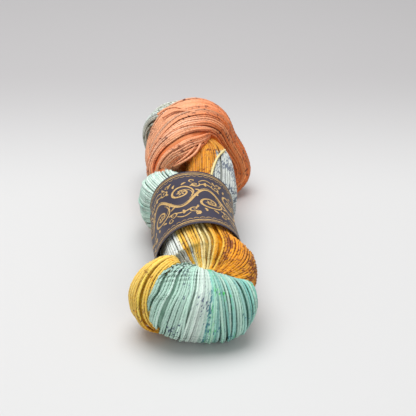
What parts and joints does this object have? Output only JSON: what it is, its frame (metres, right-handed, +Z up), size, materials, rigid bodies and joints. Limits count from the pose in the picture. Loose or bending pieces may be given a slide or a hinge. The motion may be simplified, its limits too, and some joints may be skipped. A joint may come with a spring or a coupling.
{
  "type": "skein of yarn",
  "caption": "Twisted hank of fine hand-dyed yarn, folded and tucked into itself, with a paper band round its waist.",
  "frame": {"origin": "on the table, under the middle of the skein's bounding box", "axes": "+Y along the skein, from its folded end to its looped end; +X across it; +Z up"},
  "size_m": [0.0696, 0.2088, 0.0638],
  "materials": {
    "yarn": "matte, fine plied wool, hand-dyed in several colours",
    "paper": null
  },
  "bodies": {
    "root": {"yarn_hank": "yarn", "paper_band": "paper"}
  },
  "joints": []
}
